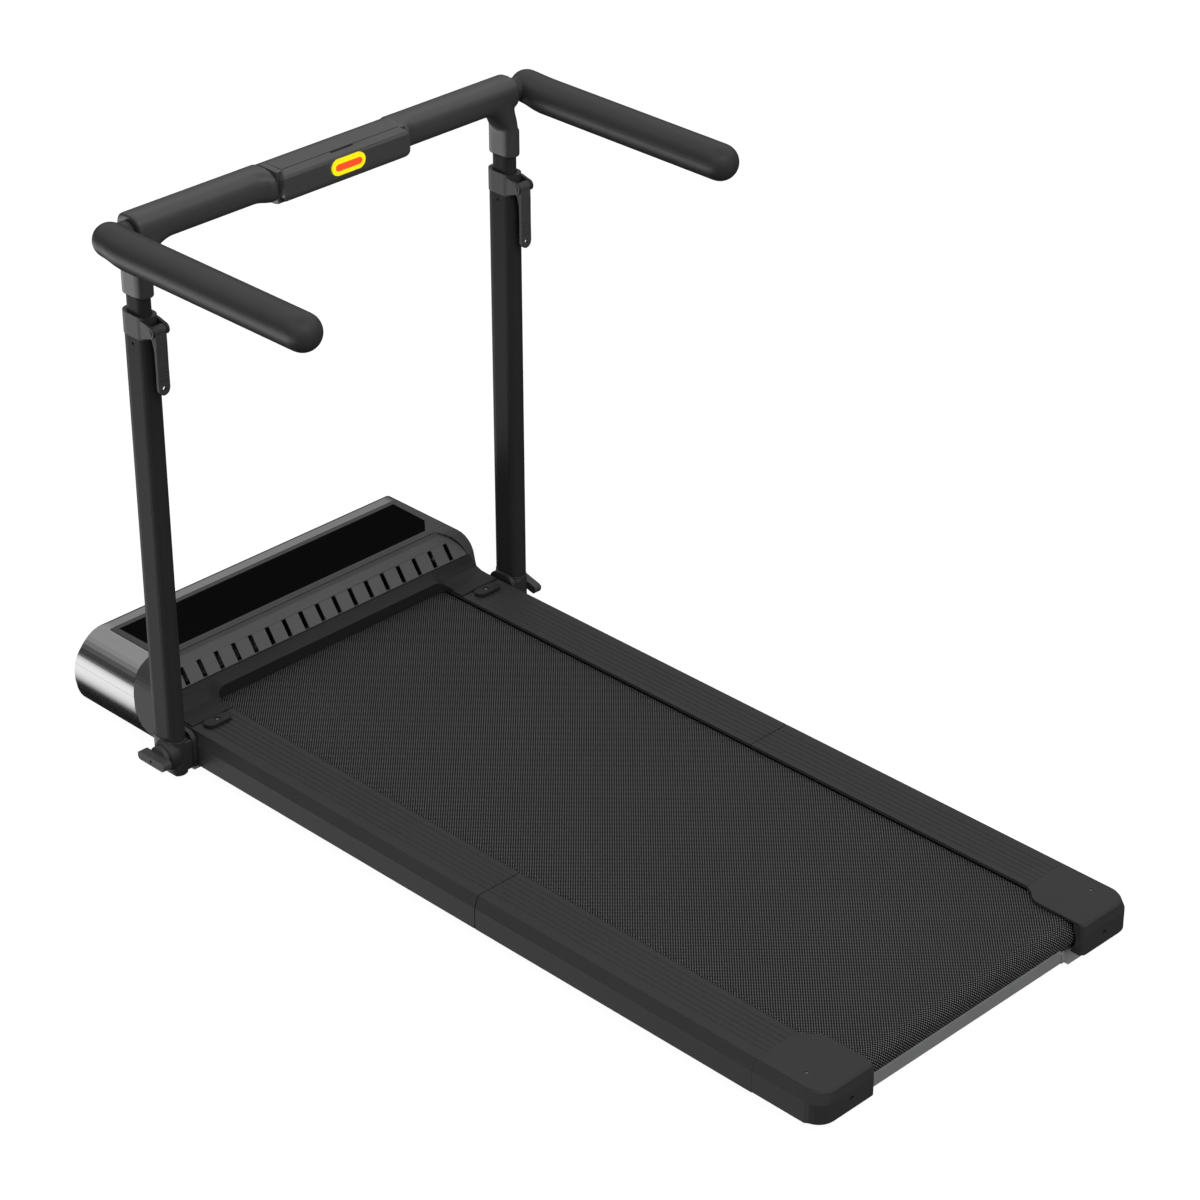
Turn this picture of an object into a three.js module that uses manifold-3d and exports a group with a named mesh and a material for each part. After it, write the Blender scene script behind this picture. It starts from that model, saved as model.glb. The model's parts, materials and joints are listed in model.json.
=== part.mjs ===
// Folding treadmill with a height-adjustable handrail.  Millimetres, Z up, X to the user's right, Y to the front.
// Lengths along Y are measured from the fold seam at the middle of the deck, heights from the floor.
import * as THREE from "three";
import { mergeVertices } from "three/addons/utils/BufferGeometryUtils.js";
import Module from "manifold-3d";

const wasm = await Module();
wasm.setup();

// ---- driving dimensions ----
const FRAME_SHIFT_Y = -116.8; // moves the seam so the whole object is centred on the origin
const RAIL_TOP = 64;
const RAIL_BOTTOM = 15;
const RAIL_INNER = 220; // half the width of belt that shows
const RAIL_EDGE = 293;
const DECK_HALF = 299.7;
const CHAMFER_LOW = 47;
const SEAM_GAP = 0.7; // half the gap at the fold
const RAIL_FRONT = 627;
const RAIL_REAR = -486;
const CAP_REAR = -596;
const BELT_TOP = 58.6;
const BELT_THICK = 1.6;
const BELT_HALF = 213;
const REAR_AXLE = { y: -558, z: 37 };
const FRONT_AXLE = { y: 676, z: 37 };
const ROLLER_R = 19.7;
const HOOD_HALF = 300;
const HOOD_TOP = 130;
const HOOD_BOTTOM = 10;
const HOOD_SEAM = 66.5;
const WALL = 2.6;
const POST_X = 325.2;
const POST_Y = 583.5;
const PIVOT_Y = 575.5;
const PIVOT_Z = 42.5;
const CLAMP_TOP = 707;
const COLLAR_BOTTOM = 731.5;
const PIN = { y: 548, z: 691.5 };
const BAR_Z = 822.4;
const BAR_END = 334;
const GRIP_X = 365.9;
const GRIP_Z = 817.2;
const GRIP_R = 25.7;
const GRIP_REAR = 210;
const KNOB_TURN = 14; // how far the right knob is left turned down at its rear end

// ---- materials ----
function paint(colour, roughness, metalness) {
  return new THREE.MeshStandardMaterial({ color: colour, roughness, metalness });
}
const MATT = paint(0x2c2c2d, 0.6, 0);
const SATIN = paint(0x29292a, 0.45, 0.3);
const GLOSS = paint(0x101011, 0.08, 0);
const FOAM = paint(0x262627, 0.8, 0);
const GREY = paint(0x8a8c8e, 0.4, 0.6);
const STEEL = paint(0xb9bbbd, 0.3, 1);
const RUBBER = paint(0x1b1b1c, 0.85, 0);
const BELT = paint(0x232324, 0.8, 0);
const WOOD = paint(0x8b6a48, 0.7, 0);
const BLACK = paint(0x0b0b0c, 0.1, 0);
const COPPER = paint(0x7a4a2a, 0.4, 0.8);
const YELLOW = paint(0xf2e21a, 0.45, 0);
const ORANGE = paint(0xf2502d, 0.45, 0);

// ---- geometry helpers ----
function solid(geometry) {
  const bare = geometry.index ? geometry.toNonIndexed() : geometry.clone();
  bare.deleteAttribute("normal");
  bare.deleteAttribute("uv");
  const merged = mergeVertices(bare, 1e-4);
  return new wasm.Manifold(
    new wasm.Mesh({
      numProp: 3,
      vertProperties: merged.attributes.position.array,
      triVerts: new Uint32Array(merged.index.array),
    }),
  );
}

const TURN = {
  x: new THREE.Matrix4().set(0, 0, 1, 0, 1, 0, 0, 0, 0, 1, 0, 0, 0, 0, 0, 1),
  y: new THREE.Matrix4().set(1, 0, 0, 0, 0, 0, -1, 0, 0, 1, 0, 0, 0, 0, 0, 1),
  z: new THREE.Matrix4(),
};

// A flat outline pushed along one axis: (y,z) along x, (x,z) along y, (x,y) along z.
function prism(axis, outline, from, to) {
  const shape = new THREE.Shape(outline.map(([a, b]) => new THREE.Vector2(a, b)));
  const g = new THREE.ExtrudeGeometry(shape, { depth: to - from, bevelEnabled: false });
  g.translate(0, 0, axis === "y" ? -to : from);
  g.applyMatrix4(TURN[axis]);
  return solid(g);
}

function box(x0, x1, y0, y1, z0, z1) {
  const g = new THREE.BoxGeometry(x1 - x0, y1 - y0, z1 - z0);
  g.translate((x0 + x1) / 2, (y0 + y1) / 2, (z0 + z1) / 2);
  return solid(g);
}

function circle(a, b, r, n = 32) {
  const points = [];
  for (let i = 0; i < n; i++) {
    const t = (2 * Math.PI * i) / n;
    points.push([a + r * Math.cos(t), b + r * Math.sin(t)]);
  }
  return points;
}

// A stadium outline, half length h along the second coordinate, end radius r.
function stadium(a, b, h, r, n = 8) {
  const points = [];
  for (let i = 0; i <= n; i++) {
    const t = (Math.PI * i) / n;
    points.push([a + r * Math.cos(t), b + h + r * Math.sin(t)]);
  }
  for (let i = 0; i <= n; i++) {
    const t = Math.PI + (Math.PI * i) / n;
    points.push([a + r * Math.cos(t), b - h + r * Math.sin(t)]);
  }
  return points;
}

function roundedBox(a0, a1, b0, b1, r, n = 5) {
  const points = [];
  const corners = [
    [a1 - r, b1 - r, 0],
    [a0 + r, b1 - r, 1],
    [a0 + r, b0 + r, 2],
    [a1 - r, b0 + r, 3],
  ];
  for (const [ca, cb, q] of corners)
    for (let i = 0; i <= n; i++) {
      const t = ((q + i / n) * Math.PI) / 2;
      points.push([ca + r * Math.cos(t), cb + r * Math.sin(t)]);
    }
  return points;
}

function cylinder(axis, a, b, r, from, to, n = 32) {
  return prism(axis, circle(a, b, r, n), from, to);
}

// Rings of equal point count joined into one closed skin; each ring is a list of [x, y, z].
// The two coordinates that lay the first and the last ring flat are named by number.
function loft(rings, flat, lastFlat = flat) {
  const n = rings[0].length;
  const points = rings.flat();
  const index = [];
  for (let k = 0; k + 1 < rings.length; k++)
    for (let i = 0; i < n; i++) {
      const a = k * n + i;
      const b = k * n + ((i + 1) % n);
      index.push(a, b, b + n, a, b + n, a + n);
    }
  const caps = [
    [0, true, flat],
    [rings.length - 1, false, lastFlat],
  ];
  for (const [k, flip, [u, v]] of caps) {
    const outline = rings[k].map((p) => new THREE.Vector2(p[u], p[v]));
    for (const [a, b, c] of THREE.ShapeUtils.triangulateShape(outline, []))
      index.push(k * n + a, k * n + (flip ? c : b), k * n + (flip ? b : c));
  }
  const g = new THREE.BufferGeometry();
  g.setAttribute("position", new THREE.Float32BufferAttribute(points.flat(), 3));
  g.setIndex(index);
  let made = solid(g);
  if (made.volume() < 0) {
    for (let i = 0; i < index.length; i += 3) [index[i + 1], index[i + 2]] = [index[i + 2], index[i + 1]];
    g.setIndex(index);
    made = solid(g);
  }
  return made;
}

// A profile [radius, x] turned about an axle parallel to X.
function turned(profile, y, z, n = 40) {
  const g = new THREE.LatheGeometry(profile.map(([r, x]) => new THREE.Vector2(r, x)), n);
  g.rotateZ(-Math.PI / 2);
  g.translate(0, y, z);
  return solid(g);
}

// A post's outline in plan: half length h between the end centres, end radius r.
function shiftedStadium(h, r, n = 10) {
  return stadium(0, 0, h, r, n).map(([x, y]) => [x + POST_X, y + POST_Y]);
}

function mirrored(s) {
  return s.mirror([1, 0, 0]);
}

const part = new THREE.Group();
part.name = "treadmill";
part.position.y = FRAME_SHIFT_Y;

function node(name, s, material) {
  const made = s.getMesh();
  const n = made.numProp;
  const v = new Float32Array(made.numVert * 3);
  for (let i = 0; i < made.numVert; i++) v.set(made.vertProperties.subarray(i * n, i * n + 3), i * 3);
  const g = new THREE.BufferGeometry();
  g.setAttribute("position", new THREE.BufferAttribute(v, 3));
  g.setIndex(new THREE.BufferAttribute(new Uint32Array(made.triVerts), 1));
  g.computeVertexNormals();
  const mesh = new THREE.Mesh(g, material);
  mesh.name = name;
  part.add(mesh);
}

// Both hands of a piece modelled on the right.
function pair(name, s, material) {
  node(name + "_right", s, material);
  node(name + "_left", mirrored(s), material);
}

// ---- foot rails: a folded cover with shallow grooves along the inner part of its top ----
function footRail(y0, y1) {
  const top = [[RAIL_EDGE, RAIL_TOP]];
  for (let x = 276; x > 226; x -= 9) top.push([x + 2, RAIL_TOP], [x + 1, RAIL_TOP - 0.9], [x - 1, RAIL_TOP - 0.9], [x - 2, RAIL_TOP]);
  const outline = [
    ...top,
    [RAIL_INNER, RAIL_TOP],
    [RAIL_INNER, 59.6],
    [RAIL_INNER + 2.2, 59.6],
    [RAIL_INNER + 2.2, RAIL_TOP - 2.6],
    [291.2, RAIL_TOP - 2.6],
    [297, CHAMFER_LOW - 0.5],
    [297, RAIL_BOTTOM],
    [DECK_HALF, RAIL_BOTTOM],
    [DECK_HALF, CHAMFER_LOW],
  ];
  return prism("y", outline, y0, y1);
}
pair("foot_rail_front", footRail(SEAM_GAP, RAIL_FRONT), MATT);
pair("foot_rail_rear", footRail(RAIL_REAR + 0.3, -SEAM_GAP), MATT);

// ---- rear caps ----
function capOutline(edge, rear, grow) {
  const r = 25 - grow;
  const inner = [
    [RAIL_INNER + grow, RAIL_REAR],
    [217.5 + grow, -490],
    [212 + grow, -499],
    [205 + grow, -506],
    [201.5 + grow, -513],
    [200.5 + grow, -522],
    [200 + grow, CAP_REAR + rear + 5],
    [202 + grow, CAP_REAR + rear + 1],
    [205 + grow, CAP_REAR + rear],
  ];
  const corner = [];
  for (let i = 0; i <= 6; i++) {
    const t = -Math.PI / 2 + (i * Math.PI) / 12;
    corner.push([edge - r + r * Math.cos(t), CAP_REAR + rear + r + r * Math.sin(t)]);
  }
  return [...inner, ...corner, [edge, RAIL_REAR]];
}
function rearCap() {
  const levels = [
    [DECK_HALF, 0, RAIL_BOTTOM + 1],
    [DECK_HALF, 0, CHAMFER_LOW],
    [294.2, 2, 61],
    [RAIL_EDGE, 4.5, RAIL_TOP],
  ];
  let s = loft(levels.map(([e, r, z]) => capOutline(e, r, 0).map(([x, y]) => [x, y, z < 20 && y < -575 ? z + 2.4 : z])), [0, 1]);
  const hollow = [
    [DECK_HALF - 2.6, 3, 0],
    [DECK_HALF - 2.6, 3, CHAMFER_LOW - 1],
    [291, 6, RAIL_TOP - 3],
  ];
  s = s.subtract(
    loft(hollow.map(([e, r, z]) => capOutline(e, r, 2.6).map(([x, y]) => [x, y - (y > RAIL_REAR - 1 ? -2 : 0), z])), [0, 1]),
  );
  s = s.subtract(box(190, 214.5, -578, -480, 0, 60.4)); // the belt passes in under the cap
  s = s.subtract(cylinder("x", REAR_AXLE.y, REAR_AXLE.z, 24.5, 190, 204, 40));
  s = s.subtract(cylinder("z", 271.6, -549, 2.6, 50, 70, 20));
  s = s.subtract(cylinder("y", 242.8, 35, 3.4, -600, -590, 20));
  return s;
}
pair("rear_cap", rearCap(), MATT);

// ---- frames: welded box section under each half ----
function deckFrame(y0, y1, crossings) {
  let s = box(226, 262, y0, y1, 20, 44);
  s = s.subtract(box(229, 259, y0 - 1, y1 + 1, 23, 41));
  s = s.add(mirrored(s));
  for (const y of crossings) {
    s = s.add(box(-227, 227, y - 12, y + 12, 22, 43.5));
    s = s.subtract(box(-232, 232, y - 9.5, y + 9.5, 25, 40.5));
  }
  return s;
}
let frameFront = deckFrame(2, 640, [40, 300, 560]);
for (const side of [-1, 1]) {
  const plate = box(226, 230, 630, 716, 14, 62).subtract(cylinder("x", FRONT_AXLE.y, FRONT_AXLE.z, 6.4, 220, 240));
  frameFront = frameFront.add(side > 0 ? plate : mirrored(plate));
  const arm = box(230, 262, 690, 716, 14, 24).add(box(258, 262, 690, 790, 14, 40)).subtract(cylinder("x", 776, 22, 3.2, 250, 270));
  frameFront = frameFront.add(side > 0 ? arm : mirrored(arm));
}
frameFront = frameFront.add(box(-262, 262, 706, 716, 14, 24)).add(box(-262, 262, 784, 790, 26, 40));
node("frame_front", frameFront, SATIN);
let frameRear = deckFrame(-574, -2, [-520, -270, -40]).subtract(box(-240, 240, -600, -540, 0, 60));
for (const side of [-1, 1]) {
  const fork = box(226, 231, -576, -520, 20, 56).subtract(cylinder("x", REAR_AXLE.y, REAR_AXLE.z, 6.4, 200, 260));
  frameRear = frameRear.add(side > 0 ? fork : mirrored(fork));
}
node("frame_rear", frameRear, SATIN);

// ---- running boards ----
node("deck_board_front", box(-212, 212, 1.5, 604, 44.5, 56.6), WOOD);
node("deck_board_rear", box(-212, 212, -530, -1.5, 44.5, 56.6), WOOD);

// ---- belt: an endless band modelled in two halves, cut at the fold ----
function beltLoop(grow) {
  const top = BELT_TOP + grow;
  const r = 21.6 + grow;
  const points = [];
  for (let i = 0; i <= 16; i++) {
    const t = Math.PI / 2 - (Math.PI * i) / 16;
    points.push([FRONT_AXLE.y + r * Math.cos(t), FRONT_AXLE.z + r * Math.sin(t)]);
  }
  for (let i = 0; i <= 16; i++) {
    const t = -Math.PI / 2 - (Math.PI * i) / 16;
    points.push([REAR_AXLE.y + r * Math.cos(t), REAR_AXLE.z + r * Math.sin(t)]);
  }
  return points.map(([y, z]) => [y, Math.min(z, top)]).reverse();
}
const band = prism("x", beltLoop(0), -BELT_HALF, BELT_HALF).subtract(prism("x", beltLoop(-BELT_THICK), -BELT_HALF - 1, BELT_HALF + 1));
node("belt_front", band.intersect(box(-BELT_HALF - 2, BELT_HALF + 2, 0.3, 760, 0, 70)), BELT);
node("belt_rear", band.intersect(box(-BELT_HALF - 2, BELT_HALF + 2, -640, -0.3, 0, 70)), BELT);

// ---- rollers, motor and drive ----
const PULLEY_X = 214.5;
const roller = [
  [0, -231],
  [6, -231],
  [6, -212],
  [ROLLER_R, -212],
  [ROLLER_R, 212],
  [6, 212],
  [6, 231],
  [0, 231],
];
// a roller is a tube on an axle: two vent holes in each end wall open the hollow
function hollowed(s, axle) {
  let inside = cylinder("x", axle.y, axle.z, ROLLER_R - 2.5, -208, 208, 32);
  inside = inside.subtract(cylinder("x", axle.y, axle.z, 6, -210, 210, 20));
  for (const d of [-11.5, 11.5]) inside = inside.add(cylinder("x", axle.y + d, axle.z, 2.5, -214, 228, 12));
  return s.subtract(inside);
}
node("rear_roller", hollowed(turned(roller, REAR_AXLE.y, REAR_AXLE.z), REAR_AXLE), STEEL);
const drivenRoller = [
  ...roller.slice(0, 5),
  [ROLLER_R, 213],
  [17, 213],
  [17, PULLEY_X],
  [16, PULLEY_X + 1],
  [16, PULLEY_X + 8],
  [17, PULLEY_X + 9],
  [6, PULLEY_X + 9],
  [6, 233],
  [0, 233],
];
node("front_roller", hollowed(turned(drivenRoller, FRONT_AXLE.y, FRONT_AXLE.z), FRONT_AXLE), STEEL);

const MOTOR = { y: 752, z: 62, r: 34 };
let motor = cylinder("x", MOTOR.y, MOTOR.z, MOTOR.r, 60, 186, 40);
motor = motor.add(cylinder("x", MOTOR.y, MOTOR.z, 20, 180, 204, 32)).add(box(70, 176, MOTOR.y - 26, MOTOR.y + 26, 24, 40));
motor = motor.subtract(cylinder("x", MOTOR.y, MOTOR.z, 4.4, 150, 206, 20));
node("drive_motor", motor, SATIN);
const motorPulley = [
  [0, 160],
  [4, 160],
  [4, PULLEY_X],
  [8, PULLEY_X],
  [6.6, PULLEY_X + 1],
  [6.6, PULLEY_X + 8],
  [8, PULLEY_X + 9],
  [0, PULLEY_X + 9],
];
node("motor_pulley", turned(motorPulley, MOTOR.y, MOTOR.z, 28), STEEL);

// The closed path of a belt round two pulleys, as the hull of two circles.
function beltPath(a, ra, b, rb) {
  const dy = b.y - a.y;
  const dz = b.z - a.z;
  const length = Math.hypot(dy, dz);
  const facing = Math.atan2(dz, dy);
  const lean = Math.acos((ra - rb) / length);
  const points = [];
  for (let i = 0; i <= 20; i++) {
    const t = facing + lean + ((2 * Math.PI - 2 * lean) * i) / 20;
    points.push([a.y + ra * Math.cos(t), a.z + ra * Math.sin(t)]);
  }
  for (let i = 0; i <= 12; i++) {
    const t = facing - lean + (2 * lean * i) / 12;
    points.push([b.y + rb * Math.cos(t), b.z + rb * Math.sin(t)]);
  }
  return points;
}
const driveBelt = prism("x", beltPath(FRONT_AXLE, 18.3, MOTOR, 8.9), PULLEY_X + 1.4, PULLEY_X + 7.6);
node("drive_belt", driveBelt.subtract(prism("x", beltPath(FRONT_AXLE, 16.4, MOTOR, 7), PULLEY_X, PULLEY_X + 9)), RUBBER);

let controller = box(-200, -40, 722, 778, 30, 46);
for (let x = -196; x < -50; x += 18) controller = controller.add(box(x, x + 4, 724, 776, 45, 70));
node("motor_controller", controller, GREY);

// ---- hood: a rounded section running front to back, with a leaning nose and a rounded back ----
function ellipse(cx, cy, a, b, from, to, n) {
  const points = [];
  for (let i = 0; i <= n; i++) {
    const t = ((from + ((to - from) * i) / n) * Math.PI) / 180;
    points.push([cx + a * Math.cos(t), cy + b * Math.sin(t)]);
  }
  return points;
}
function hoodSection() {
  const right = [
    ...ellipse(HOOD_HALF - 12, HOOD_BOTTOM + 12, 12, 12, -90, 0, 5),
    ...ellipse(HOOD_HALF - 38, HOOD_TOP - 46, 38, 46, 0, 90, 10),
  ];
  return [...right, ...right.map(([x, z]) => [-x, z]).reverse()];
}
const NOSE = [
  [800, HOOD_BOTTOM],
  [808, 11.5],
  [817, 16.5],
  [825, 26],
  [829, 39],
  [829.4, 52],
  [826, 68],
  [820, 82],
  [812, 97],
  [806, 112],
  [802.4, 122],
  [799, 127.8],
  [793, HOOD_TOP],
];
const BACK = [
  [670, HOOD_TOP],
  [663, 129],
  [656, 125],
  [650.5, 117.5],
  [646.5, 108.5],
  [641.5, 97],
  [637.5, 85],
  [634, 70],
  [631, 60],
  [629, HOOD_BOTTOM],
];
const SIDE = [...NOSE, ...BACK];
function inset(outline, d) {
  const n = outline.length;
  return outline.map((p, i) => {
    const a = outline[(i + n - 1) % n];
    const b = outline[(i + 1) % n];
    const u = new THREE.Vector2(p[0] - a[0], p[1] - a[1]).normalize();
    const v = new THREE.Vector2(b[0] - p[0], b[1] - p[1]).normalize();
    const m = new THREE.Vector2(-u.y - v.y, u.x + v.x).normalize();
    const k = d / Math.max(0.35, m.x * -u.y + m.y * u.x);
    return [p[0] + m.x * k, p[1] + m.y * k];
  });
}
function hoodSolid(d) {
  return prism("y", inset(hoodSection(), d), 560, 900).intersect(prism("x", inset(SIDE, d), -320, 320));
}
const hoodSkin = hoodSolid(0).subtract(hoodSolid(WALL));
// the line where the gloss shell stops and the matt back cover starts, seen from the side
const SPLIT = [
  [652, 0],
  [655, 10],
  [663, 18],
  [680, 26],
  [688, 36],
  [692.6, 47],
  [693.6, 71],
  [691, 90],
  [688, 111],
  [684, 126],
  [683, 140],
];
const behindSplit = (shift) =>
  prism("x", [[500, -5], ...SPLIT.map(([y, z]) => [y + shift, z]), [500, 145]], -330, 330);
const gloss = hoodSkin.subtract(behindSplit(0)).subtract(box(-270.4, 270.4, 600, 777.9, 120, 140));
node("hood_shell_upper", gloss.intersect(box(-330, 330, 600, 900, HOOD_SEAM + 0.15, 140)), GLOSS);
let lower = gloss.intersect(box(-330, 330, 600, 900, 0, HOOD_SEAM - 0.15));
lower = lower.subtract(box(262.5, 286, 749, 803, 0, 20)).subtract(box(-286, -262.5, 749, 803, 0, 20));
lower = lower.subtract(box(150, 186, 810, 840, 24, 50)).subtract(box(199, 221, 810, 840, 26, 48));
node("hood_shell_lower", lower, GLOSS);

const GLASS = [
  [-260, 769.5],
  [-258.5, 699],
  [-237, 674.5],
  [237, 674.5],
  [258.5, 699],
  [260, 769.5],
];
let cover = hoodSkin.intersect(behindSplit(-0.4));
cover = cover.add(box(-270, 270, 668, 777.5, 123.2, HOOD_TOP));
cover = cover.subtract(prism("z", GLASS.map(([x, y]) => [x * 1.0015, y > 700 ? y + 0.4 : y - 0.4]), 127.3, 140));
cover = cover.subtract(prism("z", GLASS.map(([x, y]) => [x * 0.97, y > 700 ? y - 7 : y + 7]), 110, 140));
cover = cover.subtract(box(-291, 291, 600, 642, -5, 84.6)).subtract(box(-291, 291, 600, 700, -5, 40));
const RECESS = [
  [625, 84.6],
  [640.5, 84.6],
  [657.8, 108.6],
  [664.4, 119],
  [664.4, 128.2],
  [655, 135],
  [620, 110],
];
// the recess and its grille narrow upwards in a curve at each end
function recessEnds(half) {
  const right = [
    [half, 80],
    [half, 86],
    [half - 2, 93],
    [half - 6, 101],
    [half - 12, 109],
    [half - 19, 116.5],
    [half - 27, 122.5],
    [half - 36, 127],
    [half - 46, 130],
    [half - 46, 140],
  ];
  return prism("y", [...right, ...right.map(([x, z]) => [-x, z]).reverse()].reverse(), 600, 700);
}
cover = cover.subtract(prism("x", RECESS, -290, 290).intersect(recessEnds(287)));
node("hood_cover", cover, MATT);
node("display_glass", prism("z", GLASS, 127.6, 129.7), BLACK);

const GRILLE = [
  [638.2, 85],
  [655.6, 109.2],
  [662.6, 120],
  [664, 126.6],
  [664, 120],
  [657.4, 108.4],
  [640.2, 85],
];
let grille = prism("x", GRILLE, -290, 290).intersect(recessEnds(286.6));
for (let k = -8; k <= 8; k++) {
  const slot = [
    [630, 85.7],
    [650, 85.7],
    [668, 107.6],
    [640, 107.6],
  ];
  grille = grille.subtract(prism("x", slot, k * 31.35 + 2.4, k * 31.35 + 10.2));
}
node("vent_grille", grille, MATT);

// ---- apron: bar over the front of the belt, with a leg down to each foot rail ----
const APRON_BAR = [
  [610, 59.3],
  [610, 76.5],
  [620, 79.2],
  [636.8, 84.3],
  [640.5, 84.3],
  [640.5, 80.8],
  [626, 75.5],
  [619, 73.5],
  [618.6, 59.3],
];
const APRON_LEG = [
  [577.5, 64.35],
  [577.5, 65.4],
  [579.5, 66.3],
  [600, 66.6],
  [611, 67.2],
  [621, 70.4],
  [629, 76],
  [636.8, 84.3],
  [640.5, 84.3],
  [640.5, 80.8],
  [632, 71.5],
  [629, 68.5],
  [627.4, 66],
  [627.4, 64.35],
];
// the ridge of the bar sinks into the leg over the last stretch before the corner
function apronRidge(x, t) {
  const mix = (a, b) => a + (b - a) * t;
  return [
    [mix(610, 596), mix(59.3, 64.4)],
    [mix(610, 596), mix(76.5, 66.2)],
    [mix(614, 611), mix(77.6, 67.2)],
    [mix(620, 621), mix(79.2, 70.4)],
    [mix(628, 629), mix(81.6, 76)],
    [636.8, 84.3],
    [640.5, 84.3],
    [640.5, 80.8],
    [mix(626, 632), mix(75.5, 71.5)],
    [mix(619, 627.4), mix(73.5, 66)],
    [mix(618.6, 627.4), mix(59.3, 64.4)],
  ].map(([y, z]) => [x, y, z]).reverse();
}
const ridges = [[204, 0], [208, 0.1], [212, 0.3], [216, 0.56], [220, 0.8], [224, 0.95], [228, 1]];
const corner = loft(ridges.map(([x, t]) => apronRidge(x, t)), [1, 2]);
let apron = prism("x", APRON_BAR, -204.5, 204.5).add(corner).add(mirrored(corner));
for (const [a, b] of [[219, 290.6], [-290.6, -219]]) apron = apron.add(prism("x", APRON_LEG, a, b));
const opening = roundedBox(-219.6, 219.6, 480, 615, 17, 6);
apron = apron.subtract(prism("z", opening, 50, 100));
for (const [a, b] of [[219.6, 300], [-300, -219.6]]) apron = apron.subtract(box(a, b, 500, 627.3, 50, 64.35));
node("hood_apron", apron, MATT);

const bossPlan = (grow) => stadium(563.4, 0, 11.6, 10.6 + grow, 8).map(([y, x]) => [x + 257, y]);
let boss = prism("z", bossPlan(0), 64.35, 67.6).add(prism("z", bossPlan(-1.2), 67, 68.6));
boss = boss.subtract(cylinder("z", 256, 565, 3, 60, 75, 20)).subtract(cylinder("z", 256, 565, 4.6, 67.4, 75, 20));
pair("boss_pad", boss, MATT);
node("bottom_pan", box(-285, 285, 560, 651, 9.5, 11.5), SATIN);

// ---- power entry on the nose, wheels and feet ----
let inlet = box(150.4, 185.6, 800, 830, 24.4, 49.6).subtract(box(153.4, 182.6, 808, 840, 27.4, 46.6));
for (const x of [160, 168, 176]) inlet = inlet.add(box(x - 1, x + 1, 806, 824, x === 168 ? 39 : 31, x === 168 ? 43 : 35));
node("power_inlet", inlet, MATT);
// the rocker rests 7 degrees over, with its lower half pressed in
const rocker = [
  [816, 28],
  [829.6, 28.6],
  [827.4, 37],
  [829.6, 45.4],
  [816, 46],
].map(([y, z]) => {
  const a = (-7 * Math.PI) / 180;
  return [818 + (y - 818) * Math.cos(a) - (z - 37) * Math.sin(a), 37 + (y - 818) * Math.sin(a) + (z - 37) * Math.cos(a)];
});
node("power_switch", prism("x", rocker, 200.5, 219.5), RUBBER);
const wheel = [
  [0, 254],
  [3, 254],
  [3, 265],
  [8, 265],
  [8, 264],
  [20, 264],
  [22, 266],
  [22, 281],
  [20, 283],
  [0, 283],
];
pair("transport_wheel", turned(wheel, 776, 22, 36), RUBBER);
pair("foot_front", cylinder("z", 244, 60, 14, 0, 19.7, 24), RUBBER);
pair("foot_rear", cylinder("z", 244, -520, 14, 0, 19.7, 24), RUBBER);

// ---- rear cross member ----
let cross = box(-198.5, 173, -582, -579.4, 14.2, 32.6);
cross = cross.add(box(173, 178, -583.4, -580.8, 14.2, 28)).add(box(172, 179, -582, -580.8, 14.2, 30));
cross = cross.add(box(178, 224, -590, -568, 14.2, 16.6));
node("rear_cross_member", cross, GREY);

// ---- post feet: a rounded plate bolted to the deck, with the post's casting turning on its pin ----
let flange = prism("x", roundedBox(556.2, 604, 14.2, 69, 15, 6), 301.2, 308);
flange = flange.add(box(301.2, 304.4, 558, 600, 14.2, 30));
const pin = (reach) => cylinder("x", PIVOT_Y, PIVOT_Z, 8, 307, reach, 24);
node("post_flange_right", flange.add(pin(338.6)), SATIN);
node("post_flange_left", mirrored(flange.add(pin(345))), SATIN);
pair("foot_plate", box(232, 308, 556, 600, 11.8, 13.9).add(box(232, 258, 558, 598, 13, 19.7)), GREY);

// the casting carries on the post's outline, and its underside is rounded about the pin so it clears the floor
let hub = prism("z", shiftedStadium(12.6, 14.4), 10.2, 64.4).add(box(308.5, POST_X, 556.8, 604, 16, 60));
hub = hub.intersect(
  prism("x", [...circle(PIVOT_Y, PIVOT_Z, 38.5, 56).filter(([, z]) => z < PIVOT_Z), [PIVOT_Y + 38.5, 80], [PIVOT_Y - 38.5, 80]], 300, 350),
);
hub = hub.intersect(prism("y", [[308.5, 9], [334, 9], [345, 20], [345, 80], [308.5, 80]], 500, 660));
const collar = [
  [0, 330],
  [21.8, 330],
  [21.8, 340],
  [21, 343.5],
  [18.5, 346.5],
  [0, 346.5],
];
hub = hub.subtract(cylinder("x", PIVOT_Y, PIVOT_Z, 8.4, 300, 350, 24));
node("post_hub_right", hub, SATIN);
// the left one stands further out, on a collar
let collared = hub.add(turned(collar, PIVOT_Y, PIVOT_Z, 36)).subtract(cylinder("x", PIVOT_Y, PIVOT_Z, 8.4, 300, 350, 24));
collared = collared.subtract(cylinder("x", PIVOT_Y, PIVOT_Z, 17, 345.2, 350, 36));
node("post_hub_left", mirrored(collared), SATIN);
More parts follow.
